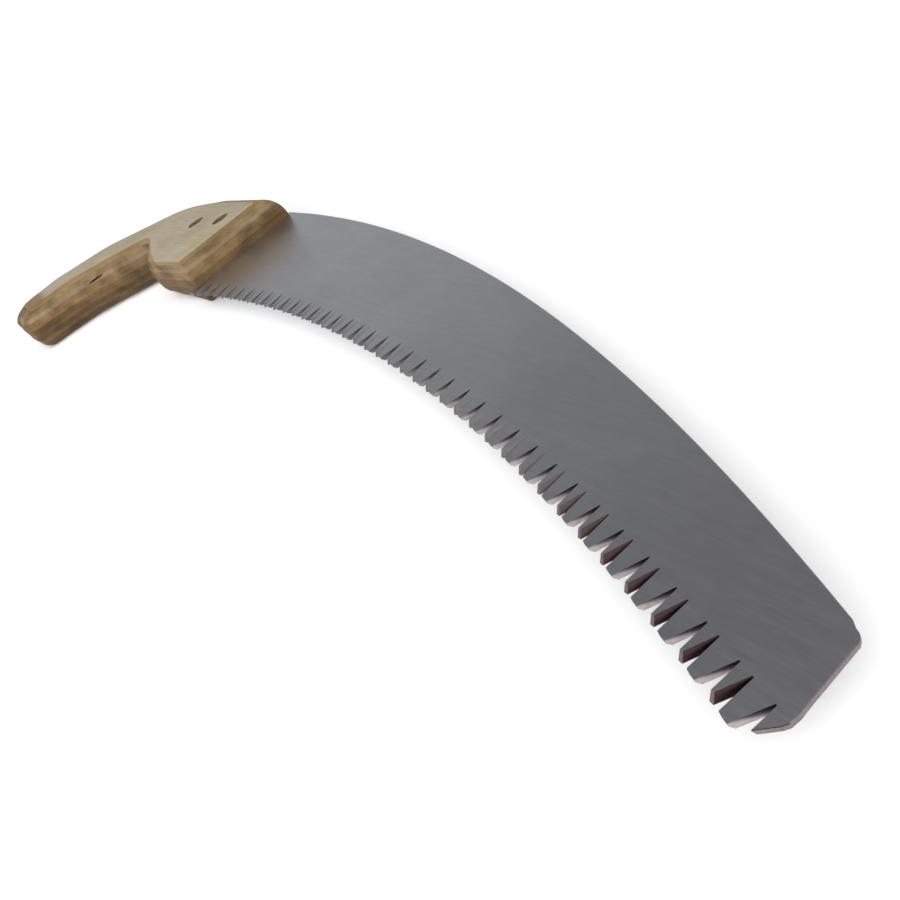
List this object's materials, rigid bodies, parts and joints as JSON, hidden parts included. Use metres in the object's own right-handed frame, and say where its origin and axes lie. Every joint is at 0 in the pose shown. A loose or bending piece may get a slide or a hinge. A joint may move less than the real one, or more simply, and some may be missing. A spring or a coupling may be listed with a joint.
{
  "type": "curved pruning saw",
  "caption": "One-hand pruning saw: a curved steel blade with deep bevelled teeth on its concave edge, bolted into the slot of a plywood pistol-grip handle.",
  "frame": {"origin": "on the handle's rest face, midway between the axes of the two saw bolts", "axes": "+Z is the blade's normal, up as the saw lies flat; +X runs from the handle towards the blade's toe; +Y is the side of the blade's convex back"},
  "size_m": [0.485, 0.1173, 0.0242],
  "materials": {
    "blade_steel": "satin, brushed across the blade",
    "face_veneer": "pale face veneer, thin clear coat",
    "light_ply": "ply edge, thin clear coat",
    "dark_ply": "ply edge, thin clear coat",
    "bolt_steel": "dark oiled steel",
    "plated_steel": "dull plating"
  },
  "bodies": {
    "root": {"saw_blade": "blade_steel", "near_face_ply": "face_veneer", "near_ply_2": "light_ply", "near_ply_3": "light_ply", "near_ply_4": "dark_ply", "near_ply_5": "light_ply", "near_ply_6": "dark_ply", "slotted_ply": "light_ply", "far_ply_8": "dark_ply", "far_ply_9": "light_ply", "far_ply_10": "dark_ply", "far_face_ply": "face_veneer", "rear_saw_bolt": "bolt_steel", "rear_washer": "plated_steel", "rear_nut": "plated_steel", "front_saw_bolt": "bolt_steel", "front_washer": "plated_steel", "front_nut": "plated_steel"}
  },
  "joints": []
}
